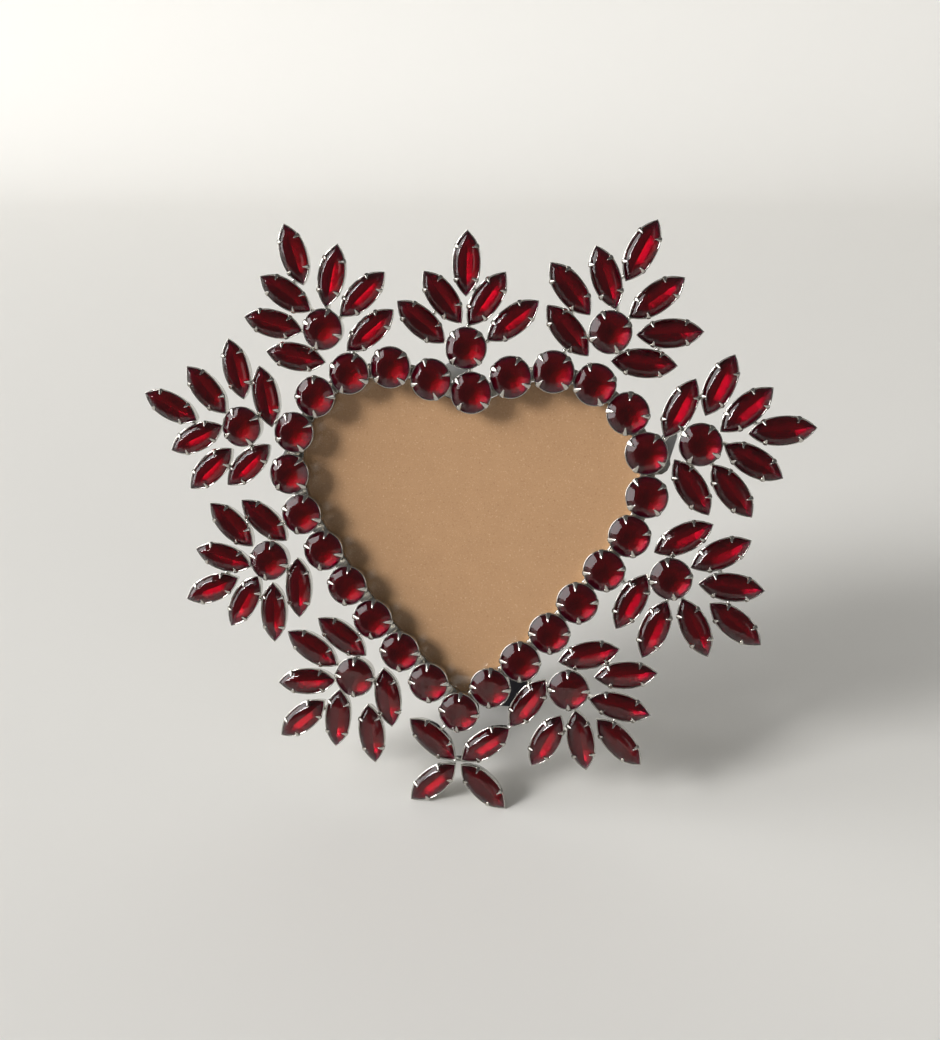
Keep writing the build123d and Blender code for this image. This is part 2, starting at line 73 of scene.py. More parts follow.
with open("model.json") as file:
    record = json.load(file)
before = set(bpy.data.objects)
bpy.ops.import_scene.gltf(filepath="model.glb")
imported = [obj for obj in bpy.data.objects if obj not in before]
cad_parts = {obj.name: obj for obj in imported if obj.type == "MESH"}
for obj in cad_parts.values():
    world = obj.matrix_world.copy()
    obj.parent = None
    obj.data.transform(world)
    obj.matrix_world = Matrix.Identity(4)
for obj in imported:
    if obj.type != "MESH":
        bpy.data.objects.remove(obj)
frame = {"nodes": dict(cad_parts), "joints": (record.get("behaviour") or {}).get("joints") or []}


# Reading the frame. Shapes are worked out in millimetres, on the leaning face of the frame:
# x to the right, y up the face and z out of it, from the flange that carries the cups.
def corners_and_triangles(node):
    """Corners of a CAD node in millimetres, to a micron and each once, and its triangles as
    rows of corner numbers."""
    mesh = frame["nodes"][node].data
    places = np.empty(len(mesh.vertices) * 3, np.float32)
    mesh.vertices.foreach_get("co", places)
    used = np.empty(len(mesh.loops), np.int32)
    mesh.loops.foreach_get("vertex_index", used)
    corners, number = np.unique(np.round(places.reshape(-1, 3) / MM, 3), axis=0, return_inverse=True)
    return corners, number.ravel()[used].reshape(-1, 3)


def solids(node):
    """Corners of each separate solid in a node. Every corner takes the lowest number that any
    triangle joins it to, over and over until nothing changes, and equal numbers are one solid."""
    corners, triangles = corners_and_triangles(node)
    label, settled = np.arange(len(corners)), False
    while not settled:
        spread = label.copy()
        np.minimum.at(spread, triangles.ravel(), np.repeat(label[triangles].min(axis=1), 3))
        settled = np.array_equal(spread, label)
        label = spread
    return [corners[label == number] for number in np.unique(label)]


# The back slides out of the frame to the rear, straight away from the face.
BACK_SLIDE = next(joint for joint in frame["joints"] if joint["name"] == "back_slide")
FACE_NORMAL = -np.array(BACK_SLIDE["axis"])
FACE_RIGHT = np.array((1.0, 0.0, 0.0))
FACE_UP = np.cross(FACE_NORMAL, FACE_RIGHT)
FACE_AXES = np.stack((FACE_RIGHT, FACE_UP, FACE_NORMAL))
FACE_LEVEL = (corners_and_triangles("row_settings")[0] @ FACE_NORMAL).min()
CUP_NODES = sorted(node for node in frame["nodes"] if node.endswith("_settings"))
STONE_NODES = sorted(node for node in frame["nodes"] if node.endswith("_stones"))


def on_face(points):
    """Points of the row frame as x, y and z on the leaning face."""
    return points @ FACE_AXES.T - np.array((0, 0, FACE_LEVEL))


def off_face(points):
    """Points on the leaning face as points of the row frame."""
    return (points + np.array((0, 0, FACE_LEVEL))) @ FACE_AXES


def read_cup(corners):
    """Centre, direction, half length, half width and rim height of a cup. Its corners are
    balanced about its centre, a petal points along their widest spread, and a round one
    has its claws an eighth of a turn from its direction."""
    face = on_face(corners)
    centre = face[:, :2].mean(axis=0)
    arms = face[:, :2] - centre
    reach = np.hypot(*arms.T)
    spread, axes = np.linalg.eigh(arms.T @ arms)
    if spread[1] > PETAL_SPREAD * spread[0]:
        along = axes[:, 1]
        across = abs(arms @ axes[:, 0]).max()
    else:
        tip = arms[face[:, 2].argmax()] / reach[face[:, 2].argmax()]
        along = np.array((tip[0] + tip[1], tip[1] - tip[0])) / math.sqrt(2)
        across = reach.max()
    return (*centre, math.atan2(along[1], along[0]), reach.max(), across, face[reach.argmax(), 2])


CUPS = {node: np.array([read_cup(cup) for cup in solids(node)]) for node in CUP_NODES}
MEASURES = [tuple(cup[3:]) for cups in CUPS.values() for cup in cups]
ROUND_CUP = min(MEASURES, key=lambda cup: cup[0] - cup[1])
PETAL_CUP = max(MEASURES, key=lambda cup: cup[0] - cup[1])


def kinds(node):
    """A node's cups sorted into round ones and petals: the measures of each kind and its places."""
    cups = CUPS[node]
    petal = cups[:, 3] > PETAL_RATIO * cups[:, 4]
    return [(measures, cups[chosen, :3])
            for measures, chosen in ((ROUND_CUP, ~petal), (PETAL_CUP, petal)) if chosen.any()]


def linear(code):
    """Linear colour of an sRGB hex code: a channel up to 0.04045 is divided by 12.92, and a
    larger one has 0.055 added, is divided by 1.055 and is raised to the power 2.4."""
    channels = np.array([int(code[place:place + 2], 16) for place in (0, 2, 4)]) / 255
    curved = np.where(channels <= 0.04045, channels / 12.92, ((channels + 0.055) / 1.055) ** 2.4)
    return tuple(float(channel) for channel in curved)


def amount(label, text, value, **more):
    """A property that holds a number."""
    return bpy.props.FloatProperty(name=label, description=text, default=value, **more)


def length(label, text, millimetres):
    """A property that holds a length."""
    return amount(label, text, millimetres * MM, subtype="DISTANCE", unit="LENGTH", precision=5)


def share(label, text, value):
    """A property that holds a part of a whole."""
    return amount(label, text, value, min=0, max=1, subtype="FACTOR")


def angle(label, text, degrees):
    """A property that holds an angle."""
    return amount(label, text, math.radians(degrees), subtype="ANGLE", unit="ROTATION")


def power(label, text, watts):
    """A property that holds the strength of a lamp."""
    return amount(label, text, watts, min=0, subtype="POWER", unit="POWER")


def colour(label, text, code):
    """A property that holds a colour, given as an sRGB hex code."""
    return bpy.props.FloatVectorProperty(name=label, description=text, default=linear(code), size=3,
                                         min=0, max=1, subtype="COLOR")


class CupSizes(bpy.types.PropertyGroup):
    """Pressed cups and the claws that hold the stones."""

    wall: length("Wall", "Thickness of a cup's wall at its rim", 0.25)
    taper: length("Taper", "How much narrower each side is at the foot than at the rim", 0.72)
    rim_width: length("Rim width", "Thickness of the rounded edge that closes over the stone", 0.34)
    seat: length("Seat", "Height of the cup's floor under the stone", 0.6)
    round_claw: length("Round cup claw", "Half the width of a claw on a round cup", 0.82)
    petal_claw: length("Petal cup claw", "Half the width of a claw on a petal cup", 0.66)
    claw_thickness: length("Claw thickness", "Half the thickness of a claw", 0.15)
    claw_reach: share("Claw reach", "How far up the stone's bevel a claw's point comes", 0.82)
    petal_claw_place: share("Petal claw place", "Where the claws stand along a petal's side", 0.48)


class StoneSizes(bpy.types.PropertyGroup):
    """Cut stones."""

    play: length("Play", "Gap between a stone and its cup's wall", 0.05)
    crown: length("Crown", "Height of the table over the girdle of a round stone", 1.7)
    petal_crown: length("Petal crown", "Height of the table over the girdle of a petal", 1.18)
    table: share("Table", "Width of the flat top as a part of the stone's width", 0.58)
    petal_bulge: share("Petal bulge", "How round the bevel of a petal is, from 0 for a flat one", 0.5)
    girdle: length("Girdle", "Thickness of the stone's edge", 0.12)
    edge: length("Table edge", "Width of the polished round at the table's edge", 0.1)
    foil_slope: angle("Foil slope", "Slope of the foiled facets under a round stone", 18)
    petal_foil_slope: angle("Petal foil slope", "Slope of the foiled facets under a petal", 21)


class SolderSizes(bpy.types.PropertyGroup):
    """Beads of solder between the cups."""

    spread: length("Spread", "How far a bead runs past its joint at each end", 0.3)
    width: length("Width", "Half the width of a bead", 0.6)
    height: length("Height", "Height of a bead over the flange", 3.5)


class EdgeSizes(bpy.types.PropertyGroup):
    """Rounds on the edges of the pressed and covered pieces."""

    band: length("Band", "Round on the edges of the heart-shaped band", 0.12)
    steel: length("Steel", "Round on the edges of the hinge and the turn buttons", 0.12)
    board: length("Board", "Round on the edges of the back board", 0.15)
    board_velvet: length("Board velvet", "Round on the edges of the velvet on the board", 0.2)
    leg: length("Leg", "Round on the edges of the covered leg", 0.5)


class Finishes(bpy.types.PropertyGroup):
    """Colours of the object's materials."""

    plate: colour("Silver plate", "Plating on the cups, the claws and the band", "C4C1BA")
    solder: colour("Solder", "Soft solder between the cups", "DEDDD8")
    foil: colour("Foil", "Mirror foil behind the stones", "F2F0EE")
    stone: colour("Stone", "Body of the red glass", "E814B2")
    kraft: colour("Kraft", "Picture card", "B38C66")
    kraft_dark: colour("Kraft shade", "Darker fibres in the card", "9C7450")
    kraft_pale: colour("Kraft fibre", "Paler fibres in the card", "CBAA84")
    hardboard: colour("Hardboard", "Edge and face of the back board", "5A4030")
    velvet: colour("Velvet", "Pile on the back and the leg", "242327")
    velvet_sheen: colour("Velvet sheen", "Light caught by the tips of the pile", "A3A2AC")
    zinc: colour("Zinc plate", "Hinge, rivets and turn buttons", "BDBEC0")
    paper: colour("Paper", "Floor and backdrop", "E2E0DB")


class StudioSizes(bpy.types.PropertyGroup):
    """Camera and lamps."""

    camera_place: bpy.props.FloatVectorProperty(
        name="Camera place", description="Where the camera stands in the row frame",
        default=(60.75 * MM, -272.99 * MM, 188.53 * MM), size=3, subtype="XYZ", unit="LENGTH")
    camera_swing: angle("Camera swing", "How far the camera looks to the left of straight on", 12.36)
    camera_drop: angle("Camera drop", "How far the camera looks down", 23.31)
    camera_roll: angle("Camera roll", "How far the camera's right side dips", 1.95)
    lens: amount("Lens", "Focal length on a 36 mm wide film", 42.25, subtype="DISTANCE_CAMERA")
    key_power: power("Key power", "Large soft lamp in front, to the upper left", 342)
    window_power: power("Window power", "Tall lamp far out to the upper left, which the bevels mirror", 182)
    fill_power: power("Fill power", "Weak lamp in front, to the right", 3)
    daylight: amount("Daylight", "Brightness all round", 0.12, min=0)
    wall: amount("Wall", "Brightness of the wall past the paper", 0.7, min=0)


class HeartFrame(bpy.types.PropertyGroup):
    """Everything that a user would change."""

    cups: bpy.props.PointerProperty(type=CupSizes)
    stones: bpy.props.PointerProperty(type=StoneSizes)
    solder: bpy.props.PointerProperty(type=SolderSizes)
    pane_gap: length("Pane gap", "Air between the pane's rear face and the card", 0.03)
    edges: bpy.props.PointerProperty(type=EdgeSizes)
    finishes: bpy.props.PointerProperty(type=Finishes)
    studio: bpy.props.PointerProperty(type=StudioSizes)


# Surfaces as whole arrays of points
def side_radius(long, wide):
    """Radius of an outline's bowed side: the square of its half length plus the square of its
    half width, over twice the half width."""
    return (long ** 2 + wide ** 2) / (2 * wide)


def ring(measures, inset, count):
    """Points round an outline, moved in by each inset, in rows. The outline is two bowed
    sides that meet in points. Each is an arc whose centre lies its radius less the half
    width past the long axis, and an inset shortens the radius. A circle is the case in
    which the half length equals the half width."""
    radius = side_radius(*measures[:2])
    past = radius - measures[1]
    bow = np.maximum(radius - np.asarray(inset, float), 1e-9)[:, None]
    step = 1 - 2 * np.arange(count) / count
    turn = np.arccos(np.clip(past / bow, 0, 1)) * np.concatenate((step, -step))
    side = np.repeat((1, -1), count)
    return fuller(np.stack((bow * np.sin(turn), side * (bow * np.cos(turn) - past)), axis=-1), measures)


def fuller(points, measures):
    """Points of a petal moved out between its middle and its tips. A point's distance from the
    long axis grows by this part of itself: the fullness, times 1 less width over length, times
    a square, times 1 less that square. The square is that of the part of the half length at
    which the point lies. A circle stays as it is."""
    along = np.minimum((points[..., :1] / measures[0]) ** 2, 1)
    growth = 1 + FULLNESS * (1 - measures[1] / measures[0]) * along * (1 - along)
    return np.concatenate((points[..., :1], points[..., 1:2] * growth, points[..., 2:]), axis=-1)


def crown_rise(part, bulge):
    """Height on a bevel, as a part of its whole height, over a part of its width: the part
    itself on a flat bevel, and more on a round one, by the bulge times the part times 1 less
    the part."""
    return part + bulge * part * (1 - part)


def set_out(points, places):
    """A copy of some points at each place (x, y, turn): each is turned about z, then moved."""
    cos, sin = np.cos(places[:, 2]), np.sin(places[:, 2])
    turns = np.stack((np.stack((cos, -sin), -1), np.stack((sin, cos), -1)), -2)
    flat = np.einsum("nab,...b->n...a", turns, points[..., :2])
    shift = places[:, :2].reshape((-1,) + (1,) * (points.ndim - 1) + (2,))
    high = np.broadcast_to(points[..., 2:], (len(places),) + points.shape[:-1] + (1,))
    return np.concatenate((flat + shift, high), axis=-1)


class Surface:
    """Points and quads of a piece, gathered grid by grid, with a material number for each quad."""

    def __init__(self):
        self.points, self.quads, self.finish, self.count = [], [], [], 0

    def add(self, grids, row_finish=0):
        """Adds grids (copies, rows, columns, 3) whose columns close into rings."""
        copies, rows, columns = grids.shape[:3]
        number = self.count + np.arange(copies * rows * columns).reshape(copies, rows, columns)
        near, far = number[:, :-1], number[:, 1:]
        quads = np.stack((near, np.roll(near, -1, 2), np.roll(far, -1, 2), far), axis=-1)
        self.points.append(grids.reshape(-1, 3))
        self.quads.append(quads.reshape(-1, 4))
        finish = np.broadcast_to(row_finish, (rows - 1,))
        self.finish.append(np.tile(np.repeat(finish, columns), copies))
        self.count += number.size

    def make(self, name, sharp, materials, body):
        """An object of the gathered quads, its doubled points merged and its faces turned outwards."""
        mesh = bpy.data.meshes.new(name)
        mesh.from_pydata(np.concatenate(self.points) * MM, [], np.concatenate(self.quads).tolist())
        mesh.polygons.foreach_set("material_index", np.concatenate(self.finish).astype(np.int32))
        for material in materials:
            mesh.materials.append(material)
        tidy(mesh)
        return finish_piece(mesh, name, sharp, body)


def tidy(mesh, join_flat=False):
    """Merges doubled points, joins flat areas into single faces where asked, and turns faces outwards."""
    work = bmesh.new()
    work.from_mesh(mesh)
    bmesh.ops.remove_doubles(work, verts=work.verts, dist=DOUBLED)
    if join_flat:
        bmesh.ops.dissolve_limit(work, angle_limit=math.radians(FLAT), verts=work.verts, edges=work.edges)
    bmesh.ops.recalc_face_normals(work, faces=work.faces)
    work.to_mesh(mesh)
    work.free()


def finish_piece(mesh, name, sharp, body):
    """Shades a mesh smooth up to an angle, links it and lets it move with its CAD body."""
    mesh.shade_smooth()
    mesh.set_sharp_from_angle(angle=math.radians(sharp))
    piece = bpy.data.objects.new(name, mesh)
    bpy.context.scene.collection.objects.link(piece)
    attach(piece, body)
    return piece


def dress(node, name, material, body, edge=0):
    """A merged copy of a CAD node, shown in its place, with its edges softened where asked."""
    mesh = frame["nodes"][node].data.copy()
    mesh.materials.clear()
    mesh.materials.append(material)
    tidy(mesh, join_flat=True)
    piece = finish_piece(mesh, name, SHARP_PLATE if edge else 0, body)
    if edge:
        soften = piece.modifiers.new("Softened edges", "BEVEL")
        soften.width = edge
        soften.segments = 2
        soften.limit_method = "ANGLE"
        soften.angle_limit = math.radians(SHARP_PLATE)
        piece.modifiers.new("Flat sides stay flat", "WEIGHTED_NORMAL").keep_sharp = True
    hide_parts(node)
    return piece


# Materials
def add_node(tree, kind, inputs=None, **settings):
    """Adds a shader node, sets its settings, and sets or links its inputs."""
    node = tree.nodes.new("ShaderNode" + kind)
    for name, value in settings.items():
        setattr(node, name, value)
    for name, value in (inputs or {}).items():
        if isinstance(value, bpy.types.NodeSocket):
            tree.links.new(value, node.inputs[name])
        else:
            node.inputs[name].default_value = value
    return node


def new_material(name):
    """An empty material and its node tree."""
    material = bpy.data.materials.new(name)
    material.use_nodes = True
    material.node_tree.nodes.clear()
    return material, material.node_tree


def opaque(colour_value):
    """A colour as a shader socket takes it."""
    return (*colour_value, 1)


def plated_brass(finishes):
    """Pressed brass, barrel polished and silver plated: a soft mirror, a little uneven, in
    patches about 3 mm wide."""
    material, tree = new_material("silver_plated_brass_pressed")
    place = add_node(tree, "TexCoord").outputs["Object"]
    haze = add_node(tree, "TexNoise", {"Vector": place, "Scale": 1 / (3 * MM), "Detail": 3.0})
    rough = add_node(tree, "MapRange", {"Value": haze.outputs["Fac"], "From Min": 0.3, "From Max": 0.7,
                                        "To Min": 0.12, "To Max": 0.26})
    shader = add_node(tree, "BsdfPrincipled", {
        "Base Color": opaque(finishes.plate), "Metallic": 1.0, "Roughness": rough.outputs["Result"]})
    add_node(tree, "OutputMaterial", {"Surface": shader.outputs[0]})
    return material


def soft_solder(finishes):
    """Tin solder that flowed and set: bright, smooth and round, a little frosted."""
    material, tree = new_material("tin_solder_flowed")
    shader = add_node(tree, "BsdfPrincipled", {
        "Base Color": opaque(finishes.solder), "Metallic": 1.0, "Roughness": 0.2})
    add_node(tree, "OutputMaterial", {"Surface": shader.outputs[0]})
    return material


def red_glass(finishes):
    """Pressed and polished soda glass, coloured all through: clear mirror facets, and a red that
    deepens to near black where light goes far through it."""
    material, tree = new_material("red_glass_pressed_and_polished")
    shader = add_node(tree, "BsdfPrincipled", {
        "Base Color": (1, 1, 1, 1), "Transmission Weight": 1.0, "Roughness": 0.0, "IOR": 1.52})
    body = add_node(tree, "VolumeAbsorption", {"Color": opaque(finishes.stone), "Density": 1900.0})
    add_node(tree, "OutputMaterial", {"Surface": shader.outputs[0], "Volume": body.outputs[0]})
    return material


def mirror_foil(finishes):
    """Vacuum-laid mirror foil on the stone's underside: it throws light back out through the
    glass, softly broken into grains about 0.7 mm wide, because pressed glass isn't quite flat."""
    material, tree = new_material("mirror_foil_vacuum_laid")
    place = add_node(tree, "TexCoord").outputs["Object"]
    waves = add_node(tree, "TexNoise", {"Vector": place, "Scale": 1 / (0.7 * MM), "Detail": 2.0})
    ripple = add_node(tree, "Bump", {"Height": waves.outputs["Fac"], "Strength": 0.5,
                                     "Distance": 0.12 * MM})
    shader = add_node(tree, "BsdfPrincipled", {
        "Base Color": opaque(finishes.foil), "Metallic": 1.0, "Roughness": 0.36,
        "Normal": ripple.outputs["Normal"]})
    add_node(tree, "OutputMaterial", {"Surface": shader.outputs[0]})
    return material


def window_glass(finishes):
    """Drawn sheet glass, cut to shape: clear, with a faint reflection. Lamps and soft light
    reach the card through it."""
    material, tree = new_material("sheet_glass_drawn")
    shader = add_node(tree, "BsdfPrincipled", {
        "Base Color": (1, 1, 1, 1), "Transmission Weight": 1.0, "Roughness": 0.0, "IOR": 1.5})
    path = add_node(tree, "LightPath")
    passing = add_node(tree, "Math", {0: path.outputs["Is Shadow Ray"], 1: path.outputs["Is Diffuse Ray"]},
                       operation="MAXIMUM")
    clear = add_node(tree, "BsdfTransparent")
    mixed = add_node(tree, "MixShader", {0: passing.outputs[0], 1: shader.outputs[0], 2: clear.outputs[0]})
    add_node(tree, "OutputMaterial", {"Surface": mixed.outputs[0]})
    return material


def kraft_board(finishes):
    """Uncoated kraft board: matt brown pulp, mottled in clouds about 5 mm wide, with darker and
    paler fibres. Real fibres are finer, and are drawn 0.4 mm wide so that they show."""
    material, tree = new_material("kraft_board_uncoated")
    place = add_node(tree, "TexCoord").outputs["Object"]
    cloud = add_node(tree, "TexNoise", {"Vector": place, "Scale": 1 / (5 * MM), "Detail": 4.0,
                                        "Roughness": 0.6})
    pulp = add_node(tree, "MapRange", {"Value": cloud.outputs["Fac"], "From Min": 0.3, "From Max": 0.7,
                                       "To Min": 0.0, "To Max": 0.2})
    base = add_node(tree, "Mix", {0: pulp.outputs["Result"], 6: opaque(finishes.kraft),
                                  7: opaque(finishes.kraft_dark)}, data_type="RGBA")
    fibre = add_node(tree, "TexNoise", {"Vector": place, "Scale": 1 / (0.4 * MM), "Detail": 2.0})
    pale = add_node(tree, "MapRange", {"Value": fibre.outputs["Fac"], "From Min": 0.6, "From Max": 0.75,
                                       "To Min": 0.0, "To Max": 0.8})
    mixed = add_node(tree, "Mix", {0: pale.outputs["Result"], 6: base.outputs[2],
                                   7: opaque(finishes.kraft_pale)}, data_type="RGBA")
    dark = add_node(tree, "MapRange", {"Value": fibre.outputs["Fac"], "From Min": 0.38, "From Max": 0.26,
                                       "To Min": 0.0, "To Max": 0.8})
    flecked = add_node(tree, "Mix", {0: dark.outputs["Result"], 6: mixed.outputs[2],
                                     7: opaque(finishes.kraft_dark)}, data_type="RGBA")
    tooth = add_node(tree, "Bump", {"Height": fibre.outputs["Fac"], "Strength": 0.25,
                                    "Distance": 0.05 * MM})
    shader = add_node(tree, "BsdfPrincipled", {
        "Base Color": flecked.outputs[2], "Roughness": 0.9, "Specular IOR Level": 0.3,
        "Normal": tooth.outputs["Normal"]})
    add_node(tree, "OutputMaterial", {"Surface": shader.outputs[0]})
    return material


def pressed_hardboard(finishes):
    """Hardboard, wet pressed: matt dark brown and smooth, with a felted grain about 0.8 mm wide."""
    material, tree = new_material("hardboard_pressed")
    place = add_node(tree, "TexCoord").outputs["Object"]
    grain = add_node(tree, "TexNoise", {"Vector": place, "Scale": 1 / (0.8 * MM), "Detail": 3.0})
    tone = add_node(tree, "MapRange", {"Value": grain.outputs["Fac"], "To Min": 0.75, "To Max": 1.25})
    tinted = add_node(tree, "VectorMath", {0: finishes.hardboard, "Scale": tone.outputs["Result"]},
                      operation="SCALE")
    shader = add_node(tree, "BsdfPrincipled", {"Base Color": tinted.outputs[0], "Roughness": 0.75})
    add_node(tree, "OutputMaterial", {"Surface": shader.outputs[0]})
    return material


def pile_velvet(finishes):
    """Short woven pile, brushed: near black face on, with a soft grey sheen at a slant and
    faint clouds about 6 mm wide where the pile lies differently. The tufts stand closer on
    real velvet, and are drawn 0.35 mm apart so that they show."""
    material, tree = new_material("velvet_short_pile")
    place = add_node(tree, "TexCoord").outputs["Object"]
    clouds = add_node(tree, "TexNoise", {"Vector": place, "Scale": 1 / (6 * MM), "Detail": 2.0})
    pile = add_node(tree, "TexNoise", {"Vector": place, "Scale": 1 / (0.35 * MM), "Detail": 1.0})
    lie = add_node(tree, "MapRange", {"Value": clouds.outputs["Fac"], "To Min": 0.6, "To Max": 1.5})
    tinted = add_node(tree, "VectorMath", {0: finishes.velvet, "Scale": lie.outputs["Result"]},
                      operation="SCALE")
    nap = add_node(tree, "Bump", {"Height": pile.outputs["Fac"], "Strength": 0.6, "Distance": 0.12 * MM})
    shader = add_node(tree, "BsdfPrincipled", {
        "Base Color": tinted.outputs[0], "Roughness": 1.0, "Specular IOR Level": 0.1,
        "Sheen Weight": 0.8, "Sheen Roughness": 0.4, "Sheen Tint": opaque(finishes.velvet_sheen),
        "Normal": nap.outputs["Normal"]})
    add_node(tree, "OutputMaterial", {"Surface": shader.outputs[0]})
    return material


def zinc_steel(finishes):
    """Pressed steel strip, bright zinc plated: a satin grey with a cool cast, a little uneven,
    in patches about 1.5 mm wide."""
    material, tree = new_material("steel_pressed_and_zinc_plated")
    place = add_node(tree, "TexCoord").outputs["Object"]
    bloom = add_node(tree, "TexNoise", {"Vector": place, "Scale": 1 / (1.5 * MM), "Detail": 3.0})
    rough = add_node(tree, "MapRange", {"Value": bloom.outputs["Fac"], "To Min": 0.26, "To Max": 0.42})
    shader = add_node(tree, "BsdfPrincipled", {
        "Base Color": opaque(finishes.zinc), "Metallic": 1.0, "Roughness": rough.outputs["Result"]})
    add_node(tree, "OutputMaterial", {"Surface": shader.outputs[0]})
    return material


def seamless_paper(finishes):
    """Matt studio paper: pale and even."""
    material, tree = new_material("studio_paper_seamless")
    shader = add_node(tree, "BsdfPrincipled", {
        "Base Color": opaque(finishes.paper), "Roughness": 0.95, "Specular IOR Level": 0.1})
    add_node(tree, "OutputMaterial", {"Surface": shader.outputs[0]})
    return material


def finish_of(context, maker):
    """The material that one of these functions gives, made the first time it is asked for."""
    made = dict(context.scene.get("made_finishes", {}))
    if maker.__name__ not in made:
        made[maker.__name__] = maker(context.scene.heart_frame.finishes).name
        context.scene["made_finishes"] = made
    return bpy.data.materials[made[maker.__name__]]


# Cups
def cup_walls(sizes, measures, count=24, rim_steps=6):
    """A cup as rows of rings, from the middle of its foot up the wall, over the rounded rim and
    down to the middle of its seat. Each row is the outline moved in by an inset, at a height,
    and the rim is half a circle, over which the inset grows by 1 less the cosine, and the
    height by the sine."""
    wide, rim = measures[1:3]
    wall, taper, lip, seat = (value / MM for value in (
        sizes.wall, sizes.taper, sizes.rim_width / 2, sizes.seat))
    foot_in, foot_up, rim_drop, inner_drop = 0.15, 0.14, 0.06, 0.3
    turn = np.linspace(0, math.pi, rim_steps)
    over = np.stack((lip * (1 - np.cos(turn)), rim - rim_drop + lip * np.sin(turn)), axis=-1)
    inset, height = np.array((
        (wide, 0), (taper + foot_in, 0), (taper, foot_up),
        (taper * 0.45, rim * 0.5), (taper * 0.1, rim * 0.86),
        *over, (wall, rim - inner_drop), (wide, seat))).T
    rows = ring(measures, inset, count)
    return np.concatenate((rows, np.broadcast_to(height[:, None, None], rows.shape[:2] + (1,))), axis=-1)


def claw_strip(sizes, stones, measures, half_width, crown, bulge):
    """One claw as rows of five-cornered rings, in (out from the wall, along the wall, height).
    Its middle line climbs the wall, turns over the rim and follows the stone's bevel, and each
    ring is a low dome across that line, scaled by the claw's width and thickness there. In the
    table, a row is how far out and how high the line runs, and the width and thickness there:
    two rows at the foot, three up the wall and over the rim, and three down to the point."""
    wide, rim = measures[1:3]
    taper, thick = sizes.taper / MM, sizes.claw_thickness / MM
    gap = (sizes.wall + stones.play) / MM
    bevel = (1 - stones.table) * (wide - gap)
    reach = sizes.claw_reach * bevel
    near, middle, end = rim + crown * crown_rise(sizes.claw_reach * np.array((0.45, 0.85, 1)), bulge)
    out, height, width, depth = np.array((
        (0.02 - taper * 0.5, rim * 0.48, 0, 0),
        (0.02 - taper * 0.45, rim * 0.53, 0.7, 0.7),
        (0.03 - taper * 0.15, rim * 0.85, 1, 1),
        (0.05, rim + 0.12, 0.9, 1.05),
        (-gap * 0.8, rim + 0.44, 0.76, 1),
        (-gap - reach * 0.45, near + 0.2, 0.5, 0.9),
        (-gap - reach * 0.85, middle + 0.17, 0.26, 0.85),
        (-gap - reach, end + 0.08, 0, 0))).T
    run, climb = np.gradient(out), np.gradient(height)
    out_of, up_of = climb / np.hypot(run, climb), -run / np.hypot(run, climb)
    across, dome = np.array(((-1, -1), (-0.75, 0.4), (0, 1), (0.75, 0.4), (1, -1))).T
    lift = np.multiply.outer(depth * thick, dome)
    return np.stack((out[:, None] + lift * out_of[:, None],
                     np.multiply.outer(width * half_width, across),
                     height[:, None] + lift * up_of[:, None]), axis=-1)


def claws_round(strip, measures, place_share):
    """Four copies of a claw on an outline, two on each bowed side: each stands at the arc's point
    at a share of its half angle, and looks along the arc's normal there."""
    long, wide = measures[:2]
    radius = side_radius(long, wide)
    turn = math.asin(long / radius) * place_share * np.array((1, -1, -1, 1))
    side = np.array((1, 1, -1, -1))
    normal = np.stack((np.sin(turn), side * np.cos(turn)), axis=-1)
    foot = fuller(radius * normal - np.stack((0 * side, side * (radius - wide)), axis=-1), measures)
    tangent = np.stack((-normal[:, 1], normal[:, 0]), axis=-1)
    flat = (foot[:, None, None] + strip[..., :1] * normal[:, None, None]
            + strip[..., 1:2] * tangent[:, None, None])
    return np.concatenate((flat, np.broadcast_to(strip[..., 2:], flat.shape[:-1] + (1,))), axis=-1)


class HEART_OT_cups(bpy.types.Operator):
    """Pressed cups with their claws folded over the stones"""

    bl_idname = "heart_frame.cups"
    bl_label = "Cups and claws"

    def execute(self, context):
        values = context.scene.heart_frame
        sizes, stones = values.cups, values.stones
        round_bulge, round_claw_place = 0, 0.5
        claws = {ROUND_CUP: (sizes.round_claw, stones.crown, round_bulge, round_claw_place),
                 PETAL_CUP: (sizes.petal_claw, stones.petal_crown, stones.petal_bulge,
                             sizes.petal_claw_place)}
        for node in CUP_NODES:
            surface = Surface()
            for measures, places in kinds(node):
                surface.add(off_face(set_out(cup_walls(sizes, measures), places)))
                half_width, crown, bulge, place_share = claws[measures]
                strip = claw_strip(sizes, stones, measures, half_width / MM, crown / MM, bulge)
                four = claws_round(strip, measures, place_share)
                surface.add(off_face(set_out(four, places)).reshape(-1, *strip.shape))
            cups = surface.make(node.replace("settings", "cups"), SHARP_CUP,
                                [finish_of(context, plated_brass)], "frame")
            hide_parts(node)
        return {"FINISHED"}


# Stones
def facet_lines(long, wide, shares):
    """Lines that the facets start from, as unit normals and distances from the middle: each
    touches one of the two bowed sides at a share of its half angle. With them goes how far
    along the stone the middle facet of a side ends, halfway to the next one's share."""
    radius = side_radius(long, wide)
    half_angle = math.asin(long / radius)
    turn = half_angle * np.tile(shares, 2)
    side = np.repeat((1, -1), len(shares))
    normals = np.stack((np.sin(turn), side * np.cos(turn)), axis=-1)
    reaches = radius - (radius - wide) * np.cos(turn)
    return normals, reaches, radius * math.sin(half_angle * shares[-1] / 2)


